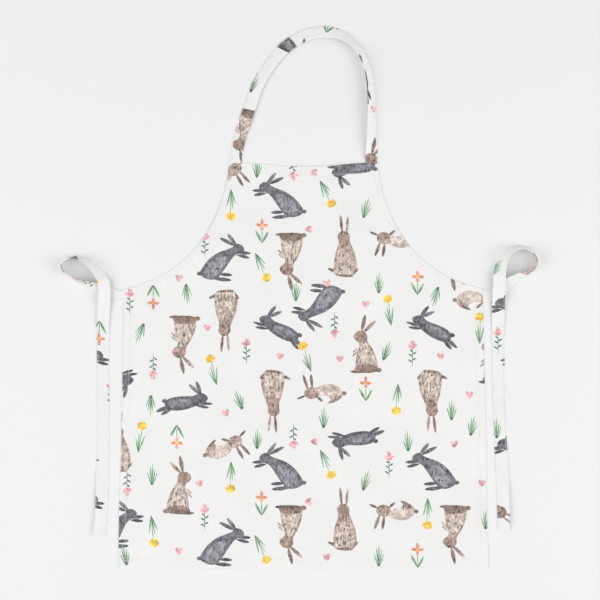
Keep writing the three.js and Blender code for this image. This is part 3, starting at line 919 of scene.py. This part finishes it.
def strap_lay(route, side, tucked, seed):
    """A function that places flat points of a strap: x to the right of its run, y along it.
    A tucked strap is sewn down at both ends."""
    middle, across, face, run = smooth_run(route, side)
    loose = random.Random(seed)
    ripples = [
        (loose.uniform(18, 60) * MM, loose.uniform(0, math.tau), loose.uniform(0.12, 0.3) * MM)
        for _ in range(RIPPLES)
    ]

    def lay(places, depth):
        u, v = -side * places[:, 0], places[:, 1]
        spot, sideways, up = (
            np.column_stack([np.interp(v, run, values[:, k]) for k in range(3)])
            for values in (middle, across, face)
        )
        before, after = np.minimum(v, 0), np.maximum(v - run[-1], 0)
        first, last = (middle[1] - middle[0]), (middle[-1] - middle[-2])
        spot += before[:, None] * np.array([*first[:2], 0]) / np.linalg.norm(first[:2])
        spot += after[:, None] * np.array([*last[:2], 0]) / np.linalg.norm(last[:2])
        free = ease(0, FLAT_ROOT, v) * (ease(0, FLAT_ROOT, run[-1] - v) if tucked else 1)
        share = u / (STRAP_WIDTH / 2)
        wave = sum(size * np.sin(math.tau * v / length + phase + share * 0.9)
                   for length, phase, size in ripples)
        crown = CROWN * (1 - share**2) - CROWN_DROP
        seam = -GROOVE_DEPTH * np.exp(-(((np.abs(share) - GROOVE_AT) / GROOVE_WIDTH) ** 2))
        level = STRAP_LAYERS / 2 - depth + (wave * np.abs(share) * 0.8 + crown) * free + seam
        width_play = 1 + WIDTH_PLAY * np.sin(v / WIDTH_PLAY_SPREAD + seed) * free
        spot += sideways * (u * width_play)[:, None] + up * level[:, None]
        spot[:, 2] = np.maximum(spot[:, 2], OFF_TABLE)
        return spot

    return lay, run[-1]


STRAP_ROWS = (-0.95, -GROOVE_AT, -0.72, 0.72, GROOVE_AT, 0.95)


def strap_piece(name, lay, start, end, placed):
    """A strap: a long printed cloth with a folded edge, and square ends."""
    half = STRAP_WIDTH / 2 - 0.4 * MM
    corners = [(-half, start), (half, start), (half, end), (-half, end), (-half, start)]
    outline = even_points(corners, 2.5 * MM)
    edge = 0.3 * MM
    folded = [
        (0.15 * MM, 0.08 * MM), (0.38 * MM, edge), (0.3 * MM, 0.5 * MM), (0.14 * MM, 0.62 * MM),
        (0.3 * MM, 0.75 * MM), (0.38 * MM, STRAP_LAYERS - edge),
        (0.15 * MM, STRAP_LAYERS - 0.08 * MM),
    ]
    points = [*scattered(outline, 3 * MM, 1.2 * MM)]
    for share in STRAP_ROWS:
        x = share * STRAP_WIDTH / 2
        points += [(x, y) for y in np.arange(start + 1 * MM, end - 1 * MM, 2.6 * MM)]
    shapes = on_cloth(placed, (-half, start), (half, end))
    return cloth_piece(name, outline, points, lay, STRAP_LAYERS, folded, shapes)


neck_lay, neck_length = strap_lay(neck_route, 1, True, 3)
neck_print = [
    ("sit", 6, 54, 186, 1), ("grass", -10, 158, 8, 1), ("run", 0, 254, 12, 1),
    ("petals", -20, 338, 80, 1), ("run", -62, 360, 0, 1), ("run", 23, 462, -90, 1),
    ("heart", -3, 527, 180, 1), ("sit", -3, 640, 180, -1),
]
NECK_TUCK = 1.4 * MM
neck_strap = strap_piece(
    "printed_neck_strap", neck_lay, -NECK_TUCK, neck_length + NECK_TUCK, neck_print,
)
# Standing on edge, the strap lets some of the light through. Its cotton is also painted a little
# lighter than the panel's same cotton: painted light that lifts the shaded sides of its standing
# loops
strap_cotton_painted_lighter = cotton_cloth("strap_cotton_painted_lighter", (0.9, 0.897, 0.888), 0.5, 0.6)
neck_strap.data.materials.append(strap_cotton_painted_lighter)
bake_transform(neck_strap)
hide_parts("neck_strap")


# ---- Waist ties ------------------------------------------------------------------------------
# Two straps like the neck strap, each sewn under a waist corner. Each runs outward, turns back
# over itself in a loop that leans on its edge, and lies down beside the skirt.
TIE_TUCK, TIE_FOLD_END = 2.4 * MM, 8 * MM
# Rows as for the neck strap, but measured out from the waist corner and up from the waist line
right_route = [
    (1, -15, 0, 0), (9, -14.8, 0, 0), (18, -11.5, 3, 0), (30, -4, 8, 0), (46, 8.5, 22, 0),
    (68, 22, 54, 0), (89, 31, 66, 0), (102, 41, 68, 0), (105.7, 57, 64, 0), (96, 72, 68, 0),
    (76, 79.5, 72, 1), (56, 75, 68, 2.5), (41, 62, 54, 5), (33, 40, 30, 8.5), (31, 7, 9, 10),
    (30.4, -42, 3, 3), (30.2, -85, 0, 0.6), (30.4, -118, 0, 0), (32, -215, 0, 0),
    (35, -292, 0, 0), (38, -350, 4, 0), (40, -418, 14, 0), (41, -468, 8, 0),
]
left_route = [
    (1, -15, 0, 0), (9, -14.9, 0, 0), (19, -12.5, 3, 0), (32, -8, 8, 0), (48, -2, 24, 0),
    (68, 6, 58, 0), (87, 14, 78, 0), (103, 22.5, 84, 0), (116, 33, 84, 0), (119.5, 46, 84, 0),
    (107, 58.5, 82, 0), (85, 58.5, 76, 1), (64, 47, 62, 3), (48, 29, 42, 5), (39, 10, 20, 7.5),
    (38, -10, 8, 8), (40.5, -46, 3, 3), (42, -88, 0, 0.6), (42, -125, 0, 0), (42, -215, 0, 0),
    (42, -312, 0, 0), (44, -408, 8, 0), (48, -476, 14, 0),
]
left_print = [
    ("sprig", 8, 80, 0, 1), ("run", 24, 142, 90, 1), ("daffodil", 19, 264, 176, 1),
    ("petals", 7, 344, 0, 1), ("leap", 40, 413, 180, 1), ("sprig", -16, 462, 180, 1),
    ("run", 60, 584, 180, 1), ("leap", 48, 690, 180, 1),
]
right_print = [
    ("stand", -21, 142, 0, 1), ("grass", 10, 240, 150, 1), ("leap", -34, 330, 180, -1),
    ("sprig", 0, 378, 180, 1), ("leap", -58, 432, 180, -1), ("grass", 7, 548, 180, 1),
    ("leap", -34, 602, 180, -1), ("stand", 24, 702, 60, 1),
]
ties = {}
for side, route, placed in ((-1, left_route, left_print), (1, right_route, right_print)):
    word = "right" if side > 0 else "left"
    route = [(side * (WAIST_HALF / MM + out), *rest) for out, *rest in route]
    lay, length = strap_lay(route, side, False, 7 + side)
    tie = strap_piece(f"printed_{word}_tie", lay, -TIE_TUCK, length, placed)
    tie.data.materials.append(strap_cotton_painted_lighter)
    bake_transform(tie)
    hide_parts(f"{word}_tie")
    ties[word] = (lay, length)


# ---- Sewing thread ---------------------------------------------------------------------------
# White polyester thread, about seven stitches to 25 mm: a line round every hem, a crossed box on
# every sewn-down end, and one line beside the folded edge of each strap.
STITCH, STITCH_GAP, THREAD_RADIUS, THREAD_SIDES = 3.0 * MM, 0.55 * MM, 0.26 * MM, 6
thread = bpy.data.materials.new("sewing_thread")
thread.use_nodes = True
thread_nodes, thread_links = thread.node_tree.nodes, thread.node_tree.links
thread_shader = thread_nodes["Principled BSDF"]
thread_place = thread_nodes.new("ShaderNodeTexCoord")
twist = thread_nodes.new("ShaderNodeTexWave")
twist.bands_direction = "DIAGONAL"
twist.inputs["Scale"].default_value = 900
twist.inputs["Distortion"].default_value = 1.5
thread_links.new(thread_place.outputs["Object"], twist.inputs["Vector"])
# The thread's colour follows the twist's waves and is darker where the bump is low: painted shade
# in the grooves of the twist
twist_groove_shade = thread_nodes.new("ShaderNodeValToRGB")
twist_groove_shade.color_ramp.elements[0].color = (0.78, 0.775, 0.76, 1)
twist_groove_shade.color_ramp.elements[1].color = (0.88, 0.875, 0.865, 1)
thread_links.new(twist.outputs["Fac"], twist_groove_shade.inputs["Fac"])
thread_links.new(twist_groove_shade.outputs["Color"], thread_shader.inputs["Base Color"])
thread_bump = thread_nodes.new("ShaderNodeBump")
thread_bump.inputs["Strength"].default_value = 0.4
thread_bump.inputs["Distance"].default_value = 0.0001
thread_links.new(twist.outputs["Fac"], thread_bump.inputs["Height"])
thread_links.new(thread_bump.outputs["Normal"], thread_shader.inputs["Normal"])
thread_shader.inputs["Roughness"].default_value = 0.55
thread_shader.inputs["Sheen Weight"].default_value = 0.2


def stitched(name, seams, lay, thickness):
    """Stitches along seams drawn on the flat cloth. Each rises from the cloth and dips back."""
    starts, ends = [], []
    for seam in seams:
        spots = np.array(seam, float)
        run = np.append(0, np.cumsum(np.linalg.norm(np.diff(spots, axis=0), axis=1)))
        count = max(1, round(run[-1] / (STITCH + STITCH_GAP)))
        pitch = run[-1] / count
        for found, shift in ((starts, STITCH_GAP / 2), (ends, pitch - STITCH_GAP / 2)):
            places = np.arange(count) * pitch + shift
            found.append(np.column_stack([np.interp(places, run, spots[:, k]) for k in (0, 1)]))
    starts, ends = np.concatenate(starts), np.concatenate(ends)
    first, last = lay(starts, 0), lay(ends, 0)
    middle = (starts + ends) / 2
    up = lay(middle, 0) - lay(middle, thickness)
    up /= np.linalg.norm(up, axis=1)[:, None]
    along = (last - first) / np.linalg.norm(last - first, axis=1)[:, None]
    sideways = np.cross(up, along)
    shares = np.array((0, 0.06, 0.2, 0.4, 0.6, 0.8, 0.94, 1))
    sizes = np.array((0.35, 0.85, 1, 1, 1, 1, 0.85, 0.35)) * THREAD_RADIUS
    rise = np.array((-0.16, 0.0, 0.12, 0.17, 0.17, 0.12, 0.0, -0.16)) * MM
    turns = np.arange(THREAD_SIDES) * math.tau / THREAD_SIDES
    vertices = []
    for share, size, height in zip(shares, sizes, rise):
        spine = first + (last - first) * share + up * height
        for turn in turns:
            vertices.append(spine + (sideways * math.cos(turn) + up * math.sin(turn)) * size)
    vertices = np.array(vertices).transpose(1, 0, 2).reshape(-1, 3)
    n = len(shares) * THREAD_SIDES
    faces = []
    for base in range(0, len(vertices), n):
        for ring in range(base, base + n - THREAD_SIDES, THREAD_SIDES):
            for k in range(THREAD_SIDES):
                a, b = ring + k, ring + (k + 1) % THREAD_SIDES
                faces.append((a, b, b + THREAD_SIDES, a + THREAD_SIDES))
        faces.append(tuple(base + k for k in reversed(range(THREAD_SIDES))))
        faces.append(tuple(base + n - THREAD_SIDES + k for k in range(THREAD_SIDES)))
    mesh = bpy.data.meshes.new(name)
    mesh.from_pydata(vertices.tolist(), [], faces)
    mesh.shade_smooth()
    piece = bpy.data.objects.new(name, mesh)
    bpy.context.scene.collection.objects.link(piece)
    piece.data.materials.append(thread)
    return piece


for run, (corners, depth) in border_runs.items():
    spots = np.array(even_points(offset_run(corners, depth - SEAM_INSET), 4 * MM))
    low, high = np.array(hem_reach[run])
    kept = spots[np.all((spots >= low + 0.5 * MM) & (spots <= high - 0.5 * MM), axis=1)]
    seam = stitched(f"{run}_seam_stitches", [kept], lay_panel, CLOTH)
    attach(seam, "panel")
    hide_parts(f"{run}_stitching")

# Each box is a square with its diagonals, set 1 mm in from the middle of its end
BOX_HALF, BOX_SHIFT = 8.5 * MM, 1 * MM
box_names = {
    "neck_strap_left_end": "neck_left", "neck_strap_right_end": "neck_right",
    "left_tie_sewn_end": "left_tie", "right_tie_sewn_end": "right_tie",
}
for end, (x, y) in end_patches().items():
    x, y = (x, y - BOX_SHIFT) if "neck" in end else (x - math.copysign(BOX_SHIFT, x), y)
    low_x, high_x, low_y, high_y = x - BOX_HALF, x + BOX_HALF, y - BOX_HALF, y + BOX_HALF
    a, b, c, d = (low_x, low_y), (high_x, low_y), (high_x, high_y), (low_x, high_y)
    short = np.array((0.06, 0.94))[:, None]
    crosses = [np.array(p) + (np.array(q) - np.array(p)) * short for p, q in ((a, c), (b, d))]
    lines = [(a, b), (b, c), (c, d), (d, a), *crosses]
    seam = stitched(f"{box_names[end]}_box_stitches", lines, lay_panel, CLOTH)
    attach(seam, "panel")
    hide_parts(f"{box_names[end]}_box_stitching")

STRAP_SEAM, STRAP_SEAM_END = 10 * MM, 2 * MM
strap_seams = (
    ("neck_strap", neck_lay, neck_length, 1, (0, BIB_END, 0), (0, 1, 0), NECK_FOLD_END),
    ("left_tie", *ties["left"], -1, (-WAIST_HALF, 0, 0), (-1, 0, 0), TIE_FOLD_END),
    ("right_tie", *ties["right"], 1, (WAIST_HALF, 0, 0), (1, 0, 0), TIE_FOLD_END),
)
for name, lay, length, side, edge, heading, fold_end in strap_seams:
    line = -side * STRAP_SEAM
    ends = [(line, STRAP_SEAM_END), (line, length - STRAP_SEAM_END)]
    seam = stitched(f"{name}_edge_stitches", [ends], lay, STRAP_LAYERS)
    start, end = (Vector(edge) + Vector(heading) * far for far in (FOLD_START, fold_end))
    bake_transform(seam)
    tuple(start)
    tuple(end)
    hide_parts(f"{name}_stitching")


# ---- Table and lamps -------------------------------------------------------------------------
# A plain white table top, an even sky, a large soft lamp on each side, low enough that the
# standing loops throw soft shadows, and a weaker one overhead that reaches into the loops.
TABLE_REACH = 20.0
around = ((-1, -1), (1, -1), (1, 1), (-1, 1))
table_corners = [(x * TABLE_REACH, y * TABLE_REACH, 0) for x, y in around]
table_mesh = bpy.data.meshes.new("floor")
table_mesh.from_pydata(table_corners, [], [(0, 1, 2, 3)])
floor = bpy.data.objects.new("floor", table_mesh)
floor.location.z = -OFF_TABLE
bpy.context.scene.collection.objects.link(floor)
white_paint = bpy.data.materials.new("white_table")
white_paint.use_nodes = True
paint_shader = white_paint.node_tree.nodes["Principled BSDF"]
paint_shader.inputs["Base Color"].default_value = (0.835, 0.835, 0.838, 1)
paint_shader.inputs["Roughness"].default_value = 0.8
paint_shader.inputs["Specular IOR Level"].default_value = 0.1
table_mesh.materials.append(white_paint)

world = bpy.data.worlds.new("studio")
bpy.context.scene.world = world
world.use_nodes = True
sky = world.node_tree.nodes["Background"]
sky.inputs["Color"].default_value = (0.995, 0.995, 1.0, 1)
sky.inputs["Strength"].default_value = 0.52
for side in (-1, 1):
    lamp_data = bpy.data.lights.new(f"softbox_{side}", "AREA")
    lamp_data.shape = "RECTANGLE"
    lamp_data.size, lamp_data.size_y = 2.2, 2.8
    lamp_data.energy = 66.0
    lamp = bpy.data.objects.new(f"softbox_{side}", lamp_data)
    lamp.location = (side * 3.2, -0.7, 2.6)
    lamp.rotation_euler = (-lamp.location).to_track_quat("-Z", "Y").to_euler()
    bpy.context.scene.collection.objects.link(lamp)
overhead_data = bpy.data.lights.new("overhead_softbox", "AREA")
overhead_data.size = 2.6
overhead_data.energy = 18.0
overhead = bpy.data.objects.new("overhead_softbox", overhead_data)
overhead.location = (0, 0, 3.7)
bpy.context.scene.collection.objects.link(overhead)
bpy.context.scene.view_settings.view_transform = "Standard"
